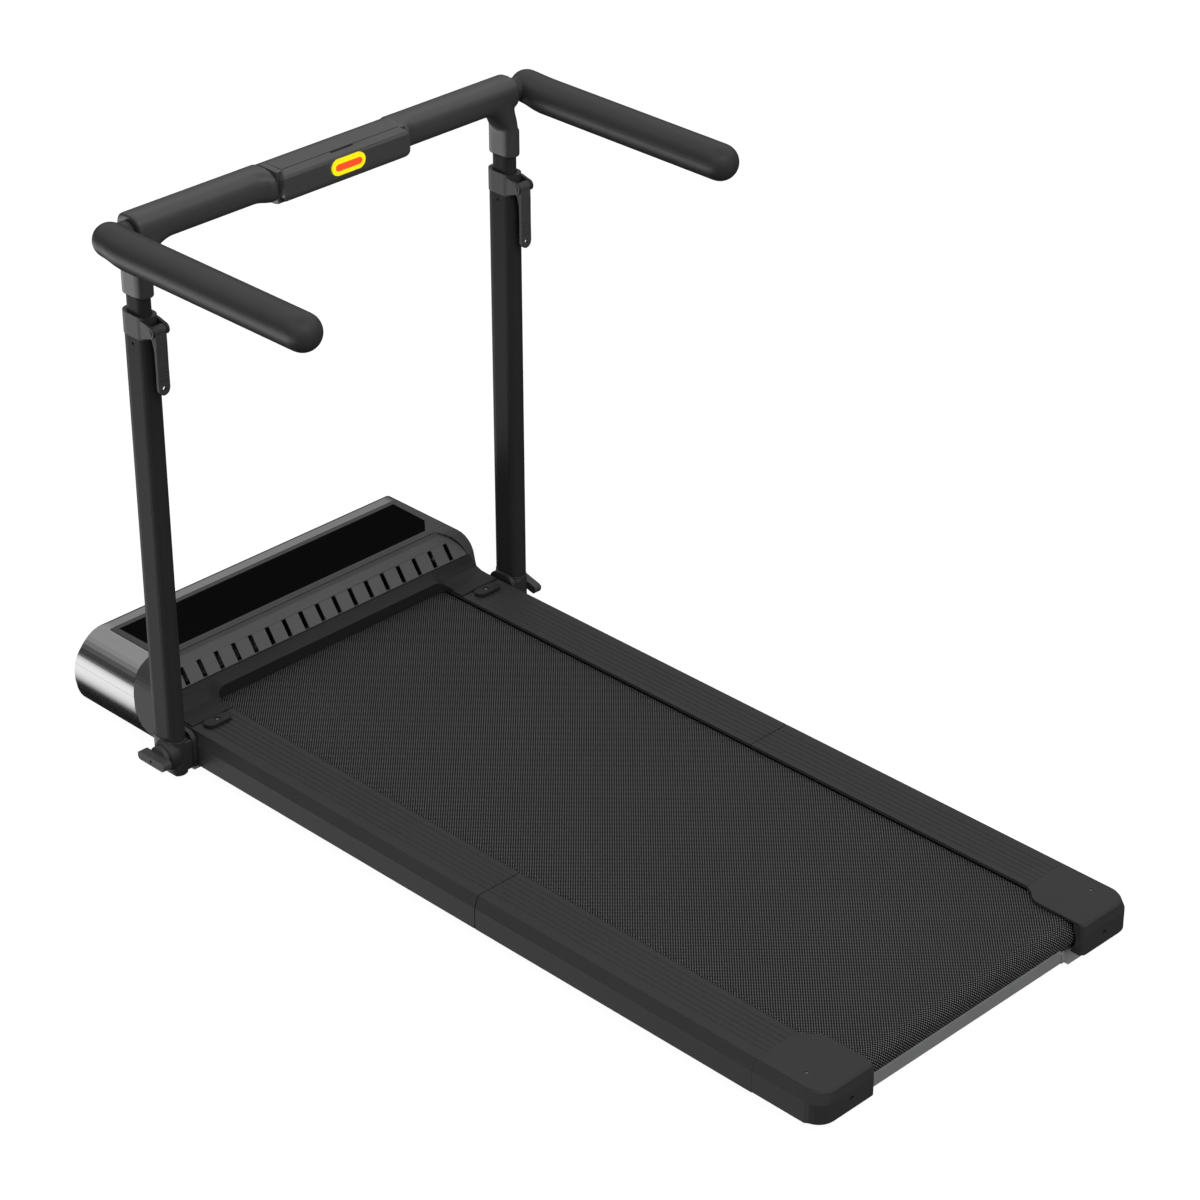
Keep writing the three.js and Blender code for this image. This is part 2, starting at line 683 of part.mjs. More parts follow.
// a wing knob on each pin; the two are left turned at different angles
function wingKnob(foot, root, tip, turn) {
  const wing = prism("x", roundedBox(PIVOT_Y - 28, PIVOT_Y + 28, PIVOT_Z - 6.5, PIVOT_Z + 6.5, 5, 4), root, tip);
  let knob = cylinder("x", PIVOT_Y, PIVOT_Z, foot < 340 ? 6.4 : 16.6, foot, root + 0.6, 36).add(wing);
  knob = knob.subtract(cylinder("x", PIVOT_Y, PIVOT_Z, 2.2, tip - 3, tip + 1, 14));
  const spin = (turn * Math.PI) / 180;
  const placed = new THREE.Matrix4()
    .makeTranslation(0, PIVOT_Y, PIVOT_Z)
    .multiply(new THREE.Matrix4().makeRotationX(spin))
    .multiply(new THREE.Matrix4().makeTranslation(0, -PIVOT_Y, -PIVOT_Z));
  return knob.transform(placed.elements);
}
node("lock_knob_right", wingKnob(339, 340.2, 352.6, KNOB_TURN), MATT);
node("lock_knob_left", mirrored(wingKnob(345.6, 353, 367, 0)), MATT);

// ---- posts, clamps and levers: the same parts on both sides, so nothing here is mirrored ----
function shifted(outline, dx, dy) {
  return outline.map(([x, y]) => [x + dx, y + dy]);
}
const SIDES = [
  ["right", POST_X],
  ["left", -POST_X],
];
for (const [side, x] of SIDES) {
  let tube = prism("z", shifted(stadium(0, 0, 12.2, 13.7, 10), x, POST_Y), 64.7, 700.6);
  tube = tube.subtract(prism("z", shifted(stadium(0, 0, 12.2, 11.9, 10), x, POST_Y), 60, 710));
  tube = tube.subtract(cylinder("x", POST_Y + 1, 665, 2, x - 20, x, 14));
  node("outer_tube_" + side, tube, SATIN);

  let clamp = prism("z", shifted(stadium(0, 0, 12.4, 14.6, 10), x, POST_Y), 675, CLAMP_TOP);
  clamp = clamp.subtract(prism("z", shifted(stadium(0, 0, 12.2, 14, 10), x, POST_Y), 660, 701));
  clamp = clamp.subtract(prism("z", shifted(stadium(0, 0, 9, 11.2, 10), x, POST_Y), 690, 720));
  const ear = [
    ...ellipse(PIN.y, PIN.z, 8, 8, 90, 270, 10),
    [570, 676],
    [570, 703.5],
    [560, 702.6],
  ];
  for (const e of [-13.8, 9.8]) clamp = clamp.add(prism("x", ear, x + e, x + e + 4));
  clamp = clamp.subtract(prism("z", shifted(stadium(0, 0, 12.2, 14, 10), x, POST_Y), 660, 701));
  clamp = clamp.add(cylinder("x", PIN.y, PIN.z, 3, x - 14.4, x + 14.4, 18)).add(cylinder("x", PIN.y, PIN.z, 4.4, x - 14.5, x - 12.4, 18));
  node("clamp_" + side, clamp, SATIN);

  // a thin plate with raised edges, a rolled eye round the pin, finger ribs and a hole near its rounded end
  const arm = [
    ...ellipse(PIN.y, PIN.z, 7, 7, 0, 205, 12),
    [541.2, 676],
    [541.4, 640],
    [541, 612],
    [541.2, 600],
    [545.8, 600],
    [545.6, 640],
    [546, 664],
    [548.6, 676],
    [554, 686.4],
  ];
  const plate = [[-9.2, 700], [-9.2, 609.6], ...ellipse(0, 609.6, 8.9, 8.9, 180, 360, 12), [9.2, 609.6], [9.2, 700]];
  let lever = prism("x", arm, x - 9.2, x + 9.2).intersect(prism("y", shifted(plate, x, 0), 530, 565));
  lever = lever.subtract(cylinder("x", PIN.y, PIN.z, 3.4, x - 10, x + 10, 18)).subtract(cylinder("y", x, 610.4, 3.4, 530, 560, 18));
  lever = lever.subtract(box(x - 7.4, x + 7.4, 540, 542, 648, 676));
  for (let k = 0; k < 4; k++) lever = lever.subtract(box(x - 7.4, x + 7.4, 540, 542.2, 621 + 5.6 * k, 623.4 + 5.6 * k));
  node("clamp_lever_" + side, lever, MATT);

  const inner = prism("z", shifted(stadium(0, 0, 8.6, 10.6, 10), x, POST_Y), 330, 756);
  node("inner_tube_" + side, inner.subtract(prism("z", shifted(stadium(0, 0, 8.6, 9, 10), x, POST_Y), 320, 760)), SATIN);
}

// ---- crossbar with a collar down over each inner tube ----
function barSection(h, v, n = 24) {
  const points = [];
  for (let i = 0; i < n; i++) {
    const t = (2 * Math.PI * i) / n;
    const c = Math.cos(t);
    const s = Math.sin(t);
    const k = 2 / 2.6;
    points.push([POST_Y + h * Math.sign(c) * Math.abs(c) ** k, BAR_Z + v * Math.sign(s) * Math.abs(s) ** k]);
  }
  return points;
}
const BAR_H = 24.6;
const BAR_V = 22.8;
let bar = cylinder("x", POST_Y, BAR_Z, 15, -120, 120, 28);
const ends = [
  [113.4, BAR_H, BAR_V],
  [BAR_END - 3, BAR_H, BAR_V],
  [BAR_END - 1, BAR_H - 0.8, BAR_V - 0.8],
  [BAR_END, BAR_H - 2.6, BAR_V - 2.6],
];
const limb = loft(ends.map(([x, h, v]) => barSection(h, v).map(([y, z]) => [x, y, z])), [1, 2]);
// beside the console the bar swells forward and down to meet the console's body
function swollen(x, part) {
  return barSection(BAR_H, BAR_V, 32).map(([y, z]) => {
    const fore = Math.max(0, (POST_Y - y) / BAR_H);
    const low = Math.max(0, (BAR_Z + 4 - z) / BAR_V);
    return [x, y - part * 11 * fore ** 0.6, z - part * 1.4 * low];
  });
}
const SWELL = [[113.4, 1], [115, 1], [118.5, 0.94], [122, 0.76], [126, 0.46], [130, 0.2], [134, 0.05], [138, 0]];
const swell = loft(SWELL.map(([x, part]) => swollen(x, part)), [1, 2]);
// the elbow: sections on planes fanned about the fillet's centre carry the bar's outline round into the collar's
const FILLET = { x: 271.5, z: 758.5, r: 41 };
function elbowSection(turn, shrink) {
  const t = (turn * Math.PI) / 180;
  // the outer side leans in a little towards the bar's end
  let reach = (BAR_Z + BAR_V - FILLET.z) / Math.max(1e-6, Math.sin(t));
  for (let i = 0, side = 338.9; i < 8; i++) {
    const lean = Math.min(1, Math.max(0, (FILLET.z + Math.min(reach, (side - FILLET.x) / Math.max(1e-6, Math.cos(t))) * Math.sin(t) - 764) / 38));
    side = 338.9 - 5.1 * lean;
    if (i === 7) reach = Math.min(reach, (side - FILLET.x) / Math.max(1e-6, Math.cos(t)));
  }
  const soft = turn > 20 && turn < 80 ? 4 * Math.sin(((turn - 20) * Math.PI) / 60) ** 2 : 0;
  const near = FILLET.r + shrink;
  const far = reach - soft - shrink;
  const half = BAR_H - shrink - 0.4 * (1 - turn / 90);
  const mid = (near + far) / 2;
  const span = (far - near) / 2;
  const section = [];
  for (let i = 0; i < 28; i++) {
    const a = (2 * Math.PI * i) / 28;
    const c = Math.cos(a);
    const d = Math.sin(a);
    const k = 2 / 2.4;
    const along = mid + span * Math.sign(d) * Math.abs(d) ** k;
    section.push([FILLET.x + along * Math.cos(t), POST_Y + half * Math.sign(c) * Math.abs(c) ** k, FILLET.z + along * Math.sin(t)]);
  }
  return section;
}
const TURNS = [90, 80, 70, 60, 50, 42, 34, 24, 12, 0];
const elbow = loft(TURNS.map((a) => elbowSection(a, 0)), [1, 2], [1, 0]);
const elbowHollow = loft([80, 70, 60, 50, 42, 34, 24, 12].map((a) => elbowSection(a, 3)), [1, 2]);
for (const side of [-1, 1]) {
  let arm = limb.add(swell).add(elbow).add(prism("z", shiftedStadium(10.8, 14), COLLAR_BOTTOM, 770));
  arm = arm.subtract(prism("z", shiftedStadium(8.6, 10.9), 720, 757));
  bar = bar.add(side > 0 ? arm : mirrored(arm));
}
const cavity = [
  [114, BAR_H - 3, BAR_V - 3],
  [BAR_END - 5, BAR_H - 3, BAR_V - 3],
];
const hollowArm = loft(cavity.map(([x, h, v]) => barSection(h, v).map(([y, z]) => [x, y, z])), [1, 2])
  .add(prism("z", shiftedStadium(6, 9), 740, 812))
  .add(elbowHollow);
bar = bar.subtract(cylinder("x", POST_Y, BAR_Z, 12.6, -120, 120, 28)).subtract(hollowArm).subtract(mirrored(hollowArm));
node("crossbar", bar, SATIN);

// ---- console: the bar's own outline on the far side, with a flat lid and a panel leaning out on the near side ----
const CONSOLE = [
  ...ellipse(POST_Y, BAR_Z, BAR_H + 0.2, BAR_V + 0.2, -60, 84, 12),
  [POST_Y, 845.4],
  [547.4, 844.6],
  [541.6, 841],
  [539.4, 837],
  [539, 812],
  [540.4, 807.4],
  [543.6, 803.8],
  [548.4, 801],
  [556, 798.9],
  [566, 798.2],
];
let body = prism("x", CONSOLE, -113, 113);
const facePlan = roundedBox(-110.5, 110.5, 800.4, 846, 14, 6);
body = body.intersect(prism("y", facePlan, 530, 552.4).add(box(-113, 113, 550.6, 640, 780, 860)));
body = body.subtract(cylinder("x", POST_Y, BAR_Z, 15.4, -120, 120, 28));
body = body.subtract(box(-102.9, 102.9, 553.8, 584.4, 841.6, 850)).subtract(box(-19.6, 19.6, 549.6, 556, 838, 850));
const wide = stadium(826.8, 0, 18, 11.6, 10).map(([z, x]) => [x, z]);
const slim = stadium(826.8, 0, 18.2, 4.9, 10).map(([z, x]) => [x, z]);
body = body.subtract(prism("y", wide, 530, 541.6)).subtract(prism("y", slim, 530, 552));
node("console_body", body, MATT);
node("phone_rest", box(-102.4, 102.4, 554.2, 584, 842, 845.4), MATT);
const ringPlan = stadium(826.8, 0, 18, 11.3, 10).map(([z, x]) => [x, z]);
node("button_ring", prism("y", ringPlan, 537.4, 541.3).subtract(prism("y", slim, 530, 545)), YELLOW);
const buttonPlan = stadium(826.8, 0, 18.2, 4.5, 10).map(([z, x]) => [x, z]);
node("start_button", prism("y", buttonPlan, 536.4, 549), ORANGE);

// ---- grips on short swivel hubs ----
const gripProfile = [[0, GRIP_REAR - GRIP_R]];
for (let i = 1; i <= 8; i++) {
  const t = (i * Math.PI) / 16;
  gripProfile.push([GRIP_R * Math.sin(t), GRIP_REAR - GRIP_R * Math.cos(t)]);
}
for (const y of [540, 550, 560, 570]) gripProfile.push([GRIP_R, y]);
for (let i = 0; i <= 8; i++) {
  const t = (i * Math.PI) / 16;
  gripProfile.push([i === 8 ? 0 : GRIP_R * Math.cos(t), 579 + 24 * Math.sin(t)]);
}
const gripShape = new THREE.LatheGeometry(gripProfile.map(([r, y]) => new THREE.Vector2(r, y)), 28);
// the front end is drawn in a little and rises to the level of the crossbar
const gripPoints = gripShape.attributes.position;
for (let i = 0; i < gripPoints.count; i++) {
  const y = gripPoints.getY(i);
  const u = Math.min(1, Math.max(0, (y - 540) / 39));
  const blend = u * u * (3 - 2 * u);
  const k = 1 - 0.07 * blend;
  gripPoints.setXYZ(i, gripPoints.getX(i) * k, y, gripPoints.getZ(i) * k + 3.6 * blend);
}
gripShape.translate(GRIP_X, 0, GRIP_Z);
pair("grip", solid(gripShape).add(cylinder("x", POST_Y - 1.5, BAR_Z - 1, 16.5, BAR_END + 0.4, 352, 28)), FOAM);

export default part;
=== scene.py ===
"""Folding treadmill: looks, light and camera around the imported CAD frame."""
import math

import bmesh
import bpy
from mathutils import Matrix, Vector
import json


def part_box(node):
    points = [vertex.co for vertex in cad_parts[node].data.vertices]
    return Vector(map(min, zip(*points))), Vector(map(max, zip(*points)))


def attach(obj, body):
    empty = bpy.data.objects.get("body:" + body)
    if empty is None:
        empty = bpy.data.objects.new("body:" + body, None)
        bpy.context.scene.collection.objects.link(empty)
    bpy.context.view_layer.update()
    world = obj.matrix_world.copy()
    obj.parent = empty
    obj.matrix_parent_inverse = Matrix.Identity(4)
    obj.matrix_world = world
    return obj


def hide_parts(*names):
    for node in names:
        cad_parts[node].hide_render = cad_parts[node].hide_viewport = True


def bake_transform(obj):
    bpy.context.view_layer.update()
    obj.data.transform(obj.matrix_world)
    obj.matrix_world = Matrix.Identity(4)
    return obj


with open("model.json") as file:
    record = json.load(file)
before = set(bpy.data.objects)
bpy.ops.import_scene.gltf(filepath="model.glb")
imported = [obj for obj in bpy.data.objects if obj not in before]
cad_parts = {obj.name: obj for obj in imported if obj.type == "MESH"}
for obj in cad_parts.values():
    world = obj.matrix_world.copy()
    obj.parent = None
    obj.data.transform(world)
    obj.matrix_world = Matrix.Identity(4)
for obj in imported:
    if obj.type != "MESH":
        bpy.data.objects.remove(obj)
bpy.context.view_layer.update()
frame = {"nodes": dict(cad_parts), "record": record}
MM = 0.001
# Lengths below are millimetres from the fold seam, as the CAD source writes them.
SEAM_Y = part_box("foot_rail_front_left")[0].y - 0.7 * MM


def pt(x, y, z):
    return Vector((x * MM, y * MM + SEAM_Y, z * MM))


# ---------------------------------------------------------------- camera
SENSOR_MM, LENS_MM = 36.0, 108.88
CAMERA_TURN = (-44.94, 29.85, -0.13)  # azimuth, elevation and roll, in degrees
CAMERA_AT = (-2900.46, -2835.59, 2709.21)


def make_camera():
    """The camera fitted to the photograph's long parallel edges."""
    data = bpy.data.cameras.new("camera")
    data.sensor_width = SENSOR_MM
    data.lens = LENS_MM
    data.clip_end = 100.0
    cam = bpy.data.objects.new("camera", data)
    bpy.context.scene.collection.objects.link(cam)
    azimuth, elevation, roll = (math.radians(v) for v in CAMERA_TURN)
    level = math.cos(elevation)
    back = Vector((math.sin(azimuth) * level, -math.cos(azimuth) * level, math.sin(elevation)))
    right = Vector((math.cos(azimuth), math.sin(azimuth), 0.0))
    up = back.cross(right)
    right, up = (
        right * math.cos(roll) + up * math.sin(roll),
        up * math.cos(roll) - right * math.sin(roll),
    )
    cam.matrix_world = Matrix((right, up, back)).transposed().to_4x4()
    cam.location = pt(*CAMERA_AT)
    bpy.context.scene.camera = cam


make_camera()


# ---------------------------------------------------------------- node helpers
class Nodes:
    """A material's node tree with short calls for the usual nodes."""

    def __init__(self, name):
        self.material = bpy.data.materials.new(name)
        self.material.use_nodes = True
        self.tree = self.material.node_tree
        self.tree.nodes.clear()
        self.output = self.add("ShaderNodeOutputMaterial")
        self.shader = self.add("ShaderNodeBsdfPrincipled")
        self.link(self.shader.outputs[0], self.output.inputs["Surface"])

    def add(self, kind, **values):
        node = self.tree.nodes.new(kind)
        for key, value in values.items():
            setattr(node, key, value)
        return node

    def link(self, a, b):
        self.tree.links.new(a, b)

    def set(self, **values):
        for key, value in values.items():
            self.shader.inputs[key.replace("_", " ")].default_value = value

    def place(self):
        return self.add("ShaderNodeTexCoord").outputs["Object"]

    def noise(self, scale, detail=2.0):
        node = self.add("ShaderNodeTexNoise")
        node.inputs["Scale"].default_value = scale
        node.inputs["Detail"].default_value = detail
        node.inputs["Roughness"].default_value = 0.5
        self.link(self.place(), node.inputs["Vector"])
        return node.outputs["Fac"]

    def spread(self, value, low, high, start=0.0, end=1.0):
        node = self.add("ShaderNodeMapRange")
        for key, v in (("From Min", start), ("From Max", end), ("To Min", low), ("To Max", high)):
            node.inputs[key].default_value = v
        self.link(value, node.inputs["Value"])
        return node.outputs["Result"]

    def math(self, operation, a, b=None):
        node = self.add("ShaderNodeMath", operation=operation)
        for socket, value in zip(node.inputs, (a, b)):
            if value is None:
                continue
            if isinstance(value, (int, float)):
                socket.default_value = value
            else:
                self.link(value, socket)
        return node.outputs[0]

    def tint(self, factor, dark, light):
        node = self.add("ShaderNodeMix", data_type="RGBA")
        node.inputs["A"].default_value = (*dark, 1)
        node.inputs["B"].default_value = (*light, 1)
        self.link(factor, node.inputs["Factor"])
        return node.outputs["Result"]

    def bump(self, height, strength, distance, below=None):
        node = self.add("ShaderNodeBump")
        node.inputs["Strength"].default_value = strength
        node.inputs["Distance"].default_value = distance
        self.link(height, node.inputs["Height"])
        if below:
            self.link(below, node.inputs["Normal"])
        return node.outputs["Normal"]


def grained(
    name, base, spread=0.12, rough=(0.5, 0.62), grain=2600, depth=0.00004, strength=0.35, **sockets
):
    """A moulded or coated surface: slow tone change, fine grain in the bump and in the roughness."""
    n = Nodes(name)
    slow = n.noise(9.0, 3.0)
    fine = n.noise(grain, 2.0)
    dark = tuple(c * (1 - spread) for c in base)
    light = tuple(c * (1 + spread) for c in base)
    n.link(n.tint(slow, dark, light), n.shader.inputs["Base Color"])
    n.link(n.spread(fine, rough[0], rough[1], 0.3, 0.7), n.shader.inputs["Roughness"])
    n.link(n.bump(fine, strength, depth), n.shader.inputs["Normal"])
    n.set(**sockets)
    return n.material


MATT = grained("matt_plastic", (0.050, 0.050, 0.051), Specular_IOR_Level=0.4)
RAIL = grained(
    "rail_plastic", (0.030, 0.030, 0.031), rough=(0.52, 0.62), grain=2300, Specular_IOR_Level=0.28,
)
# Set far darker than the cover plastic it matches: painted shade on the apron's upright faces and on its
# pads.
APRON_PAINTED_SHADE = grained(
    "apron_plastic_painted_shade", (0.0115, 0.0115, 0.012), rough=(0.46, 0.56), grain=2300,
    Specular_IOR_Level=0.3,
)
# The grille's plastic is set lighter than the cover plastic it matches: painted light, standing in for the
# bright ceiling that its sloped face reflects.
VENT_PAINTED_LIGHT = grained("vent_plastic_painted_light", (0.080, 0.080, 0.081), rough=(0.42, 0.5), grain=2600, Specular_IOR_Level=0.5)
CONSOLE = grained(
    "console_plastic", (0.052, 0.052, 0.053), rough=(0.36, 0.44), grain=2400,
    Specular_IOR_Level=0.8,
)
SATIN = grained(
    "satin_paint", (0.026, 0.026, 0.027), rough=(0.40, 0.50), grain=1900, depth=0.00003,
    strength=0.25, Specular_IOR_Level=0.4,
)
POST = grained(
    "post_coat", (0.025, 0.025, 0.026), rough=(0.36, 0.44), grain=1700, depth=0.00003,
    strength=0.25, Specular_IOR_Level=0.06,
)
BAR = grained(
    "bar_coat", (0.046, 0.046, 0.047), rough=(0.34, 0.42), grain=1900, depth=0.00003,
    strength=0.25, Specular_IOR_Level=0.6,
)
FOAM = grained(
    "grip_foam", (0.029, 0.029, 0.030), rough=(0.40, 0.50), grain=1500, depth=0.00006,
    strength=0.4, Specular_IOR_Level=0.4,
)
RUBBER = grained("rubber", (0.02, 0.02, 0.021), rough=(0.7, 0.82), grain=1300)
GREY = grained("grey_metal", (0.24, 0.242, 0.245), rough=(0.42, 0.5), grain=1500, Metallic=0.2)
STEEL = grained("steel", (0.45, 0.455, 0.46), rough=(0.25, 0.35), grain=900, Metallic=1.0)
# The ring and the button glow faintly although neither is a lamp: painted light that lifts their colours.
YELLOW_PAINTED_GLOW = grained(
    "ring_yellow", (0.92, 0.85, 0.004), spread=0.02, rough=(0.4, 0.46), Specular_IOR_Level=0.2,
    Emission_Color=(1.0, 0.85, 0.02, 1), Emission_Strength=0.35,
)
ORANGE_PAINTED_GLOW = grained(
    "button_orange", (0.95, 0.085, 0.028), spread=0.02, rough=(0.35, 0.42), Specular_IOR_Level=0.2,
    Emission_Color=(1.0, 0.085, 0.03, 1), Emission_Strength=0.35,
)
BOARD = grained("board", (0.26, 0.16, 0.09), spread=0.25, rough=(0.6, 0.75))
GLASS = grained(
    "display_glass", (0.0048, 0.0048, 0.0050), spread=0.1, rough=(0.22, 0.26), grain=700,
    depth=0.00001, strength=0.05, Specular_IOR_Level=0.0,
)
SCREW = grained("screw_steel", (0.16, 0.16, 0.165), spread=0.1, rough=(0.3, 0.4), grain=1200, Metallic=0.6)


# The gloss flank's swell, in mm: the height of its middle, how far the curve runs each way before
# it goes on straight, and its square and fourth-power terms.
SWELL_MIDDLE, SWELL_END, SWELL_BEND, SWELL_CURL = 61.5, 30.0, 0.0017, 0.0000018


def gloss_material():
    """Polished plastic whose flank swells very slightly, in its shading only."""
    n = Nodes("gloss_plastic")
    slow = n.noise(9.0, 3.0)
    n.link(n.tint(slow, (0.0052, 0.0052, 0.0056), (0.0068, 0.0068, 0.0074)), n.shader.inputs["Base Color"])
    n.link(n.spread(n.noise(500.0), 0.17, 0.21, 0.3, 0.7), n.shader.inputs["Roughness"])
    n.set(IOR=3.0)
    split = n.add("ShaderNodeSeparateXYZ")
    n.link(n.place(), split.inputs[0])
    rise = n.spread(split.outputs[2], -SWELL_MIDDLE, 0.2 / MM - SWELL_MIDDLE, 0.0, 0.2)
    near = n.math("MINIMUM", rise, SWELL_END)
    past = n.math("MAXIMUM", n.math("SUBTRACT", rise, SWELL_END), 0.0)
    square = n.math("MULTIPLY", near, near)
    fourth = n.math("MULTIPLY", square, square)
    bend = n.math("MULTIPLY", square, -SWELL_BEND)
    swell = n.math("ADD", bend, n.math("MULTIPLY", fourth, -SWELL_CURL))
    slope = 2 * SWELL_BEND * SWELL_END + 4 * SWELL_CURL * SWELL_END**3
    swell = n.math("ADD", swell, n.math("MULTIPLY", past, -slope))
    n.link(n.bump(swell, 1.0, 0.001), n.shader.inputs["Normal"])
    return n.material


GLOSS = gloss_material()


WEAVE_MM = 4.482  # the lattice's repeat
PAD_SHARPNESS = 5.0


def belt_material():
    """A diamond lattice of small raised pads, laid out along the belt's own length, with painted shade in
    the low grooves between the pads.
    """
    n = Nodes("belt_weave")
    uv = n.add("ShaderNodeTexCoord").outputs["UV"]
    split = n.add("ShaderNodeSeparateXYZ")
    n.link(uv, split.inputs[0])
    turns = 2 * math.pi / (WEAVE_MM * MM)
    across, along = split.outputs[0], split.outputs[1]
    one, two = (
        n.math("COSINE", n.math("MULTIPLY", n.math(way, across, along), turns))
        for way in ("SUBTRACT", "ADD")
    )
    lattice = n.math("ADD", one, two)
    wear = n.noise(7.0, 3.0)
    height = n.spread(lattice, 0.0, 1.0, -1.6, 1.6)
    raised = n.math("POWER", height, PAD_SHARPNESS)
    # Colour by pad height: near black in the low grooves and mid grey on the pads, so the grooves carry
    # painted shade.
    tone = n.tint(raised, (0.0004, 0.0004, 0.0005), (0.190, 0.190, 0.193))
    shade = n.add("ShaderNodeMix", data_type="RGBA", blend_type="MULTIPLY")
    shade.inputs["Factor"].default_value = 1.0
    n.link(tone, shade.inputs["A"])
    n.link(n.tint(wear, (0.9, 0.9, 0.9), (1.1, 1.1, 1.1)), shade.inputs["B"])
    n.link(shade.outputs["Result"], n.shader.inputs["Base Color"])
    n.link(n.spread(height, 0.72, 0.46), n.shader.inputs["Roughness"])
    n.set(Specular_IOR_Level=0.2)
    fine = n.noise(2400)
    n.link(n.bump(height, 1.0, 0.0006, n.bump(fine, 0.3, 0.00004)), n.shader.inputs["Normal"])
    return n.material


BELT = belt_material()

LOOKS = {
    "cover_plastic": MATT,
    "frame_paint": SATIN,
    "post_paint": POST,
    "gloss_shell": GLOSS,
    "display_glass": GLASS,
    "motor_case": SATIN,
    "steel": STEEL,
    "grey_metal": GREY,
    "rubber_parts": RUBBER,
    "wheel_tyre": RUBBER,
    "belt_fabric": BELT,
    "board": BOARD,
    "grip_foam": FOAM,
    "ring_yellow": YELLOW_PAINTED_GLOW,
    "button_orange": ORANGE_PAINTED_GLOW,
}
# Nodes whose look differs from their slot's, by the start of their name. The apron's tone carries painted
# shade and the vent grille's tone carries painted light.
SPECIAL = {
    "foot_rail": RAIL,
    "rear_cap": RAIL,
    "hood_apron": APRON_PAINTED_SHADE,
    "boss_pad": APRON_PAINTED_SHADE,
    "vent_grille": VENT_PAINTED_LIGHT,
    "console_body": CONSOLE,
    "phone_rest": CONSOLE,
}
SLOTS = {row["node"]: row["material_slot"] for row in frame["record"]["subparts"]}
BODIES = frame["record"]["behaviour"]["bodies"]
BODY = {node: body for body, nodes in BODIES.items() for node in nodes}


def smooth(mesh):
    for polygon in mesh.polygons:
        polygon.use_smooth = True


def round_edges(obj, width):
    edge = obj.modifiers.new("edge", "BEVEL")
    edge.width = width * MM
    edge.segments = 2
    edge.limit_method = "ANGLE"
    edge.angle_limit = math.radians(34)
    edge.harden_normals = True
    edge.use_clamp_overlap = True


# Edge radii in mm, by the node's name without its last word.
USUAL_EDGE = 0.6
EDGES = {"rear_cap": 1.6, "boss_pad": 1.0, "lock_knob": 1.2, "console": 1.0, "clamp": 0.9}


def finish_cad_nodes():
    """Each CAD node keeps its shape and gets its material, softened edges and smooth curves."""
    for name, obj in frame["nodes"].items():
        obj.data.materials.clear()
        look = LOOKS[SLOTS[name]]
        for start, special in SPECIAL.items():
            if name.startswith(start):
                look = special
        obj.data.materials.append(look)
        smooth(obj.data)
        flat = obj.modifiers.new("flat", "DECIMATE")
        flat.decimate_type = "DISSOLVE"
        flat.angle_limit = math.radians(0.6)
        round_edges(obj, EDGES.get(name.rsplit("_", 1)[0], USUAL_EDGE))


finish_cad_nodes()


# ---------------------------------------------------------------- pieces made here
def add_piece(name, mesh, look, body, replaced=()):
    obj = bpy.data.objects.new(name, mesh)
    bpy.context.scene.collection.objects.link(obj)
    mesh.materials.clear()
    mesh.materials.append(look)
    smooth(mesh)
    if replaced:
        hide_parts(*replaced)
    if body:
        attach(obj, body)
    return obj


def copy_mesh(node, name):
    """A copy of a CAD node's mesh, with shared corners joined."""
    mesh = frame["nodes"][node].data.copy()
    mesh.name = name
    work = bmesh.new()
    work.from_mesh(mesh)
    bmesh.ops.remove_doubles(work, verts=work.verts, dist=0.00001)
    work.to_mesh(mesh)
    work.free()
    return mesh


def apply_modifiers(obj):
    evaluated = obj.evaluated_get(bpy.context.evaluated_depsgraph_get())
    made = bpy.data.meshes.new_from_object(evaluated)
    old = obj.data
    obj.modifiers.clear()
    obj.data = made
    bpy.data.meshes.remove(old)


def cast(node, name, look, voxel, passes):
    """A casting or a moulding: the node's shape with every edge run into its neighbours."""
    obj = bpy.data.objects.new(name, copy_mesh(node, name))
    bpy.context.scene.collection.objects.link(obj)
    remesh = obj.modifiers.new("remesh", "REMESH")
    remesh.mode = "VOXEL"
    remesh.voxel_size = voxel * MM
    remesh.use_smooth_shade = True
    soft = obj.modifiers.new("soft", "SMOOTH")
    soft.factor = 0.5
    soft.iterations = passes
    apply_modifiers(obj)
    obj.data.materials.clear()
    obj.data.materials.append(look)
    smooth(obj.data)
    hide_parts(node)
    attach(obj, BODY[node])


# The belt, in mm: its axles' (y, z), its outer radius round a roller, the height of its upper run,
# its thickness, half its width, and where and how far it narrows to pass between the end caps.
FRONT_AXLE, REAR_AXLE = (676.0, 37.0), (-558.0, 37.0)
WRAP_RADIUS, BELT_TOP, BELT_THICK, BELT_HALF = 21.6, 58.6, 1.6, 218.3
CAP_Y, CAP_TAPER, CAP_INSET = -486, 12, 4.3
EDGE_DROP = 0.35  # how far the band's outer edge is rounded down
STEP, ARC_STEPS = 14, 16


def wrap(axle, start):
    """Half a turn round a roller."""
    points = []
    for i in range(ARC_STEPS + 1):
        t = start - math.pi * i / ARC_STEPS
        points.append((axle[0] + WRAP_RADIUS * math.cos(t), axle[1] + WRAP_RADIUS * math.sin(t)))
    return points


def belt_path():
    """The band's closed outline in y and z, its rows close together where the deck folds."""
    ys = list(range(-558, -32, STEP)) + [-32 + 2.0 * i for i in range(33)] + list(range(46, 676, STEP))
    path = [(y, BELT_TOP) for y in ys] + wrap(FRONT_AXLE, math.pi / 2)
    path += [(y, FRONT_AXLE[1] - WRAP_RADIUS) for y in reversed(ys[1:-1])] + wrap(REAR_AXLE, -math.pi / 2)
    clean = [path[0]]
    for p in path[1:]:
        if math.dist(p, clean[-1]) > 0.4:
            clean.append(p)
    if math.dist(clean[0], clean[-1]) < 0.4:
        clean.pop()
    return clean


